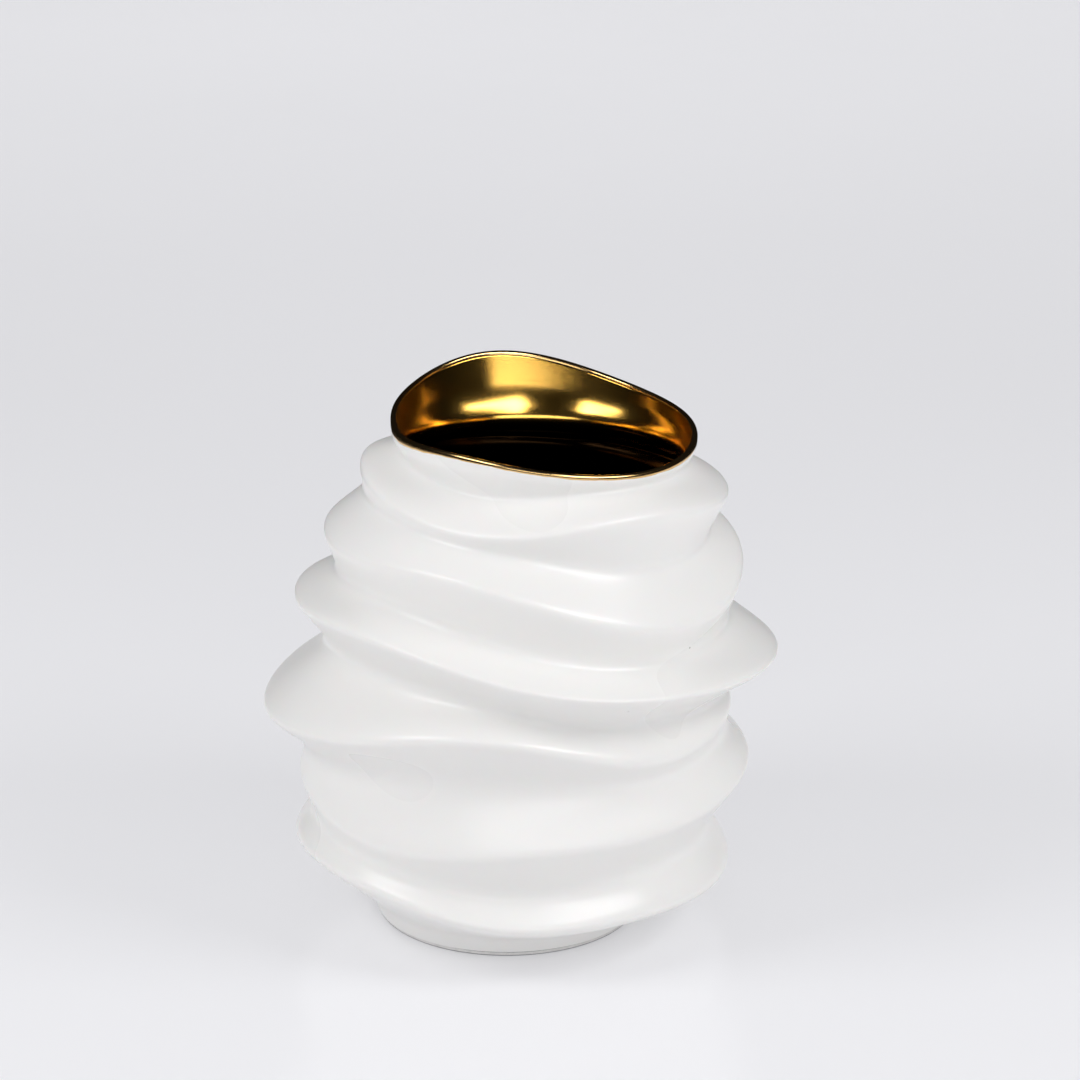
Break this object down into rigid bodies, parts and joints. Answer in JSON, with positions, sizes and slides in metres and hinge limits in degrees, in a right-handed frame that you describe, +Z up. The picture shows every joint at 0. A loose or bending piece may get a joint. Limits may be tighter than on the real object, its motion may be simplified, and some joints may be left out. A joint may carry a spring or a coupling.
{
  "type": "porcelain vase",
  "caption": "Round porcelain vase with draped horizontal folds, a wavy gilded lip, a gold inside and a plain round foot.",
  "frame": {"origin": "middle of the underside of the foot, on the surface the vase stands on", "axes": "+Z up through the mouth, -Y towards the front, +X to the right seen from the front"},
  "size_m": [0.2184, 0.2053, 0.2302],
  "materials": {
    "white_porcelain": "satin",
    "lip_gold": "polished",
    "inner_gold": "satin",
    "pad": "matte"
  },
  "bodies": {
    "root": {"porcelain_body": "white_porcelain", "gold_lip": "lip_gold", "gold_lining": "inner_gold", "base_pad": "pad"}
  },
  "joints": []
}
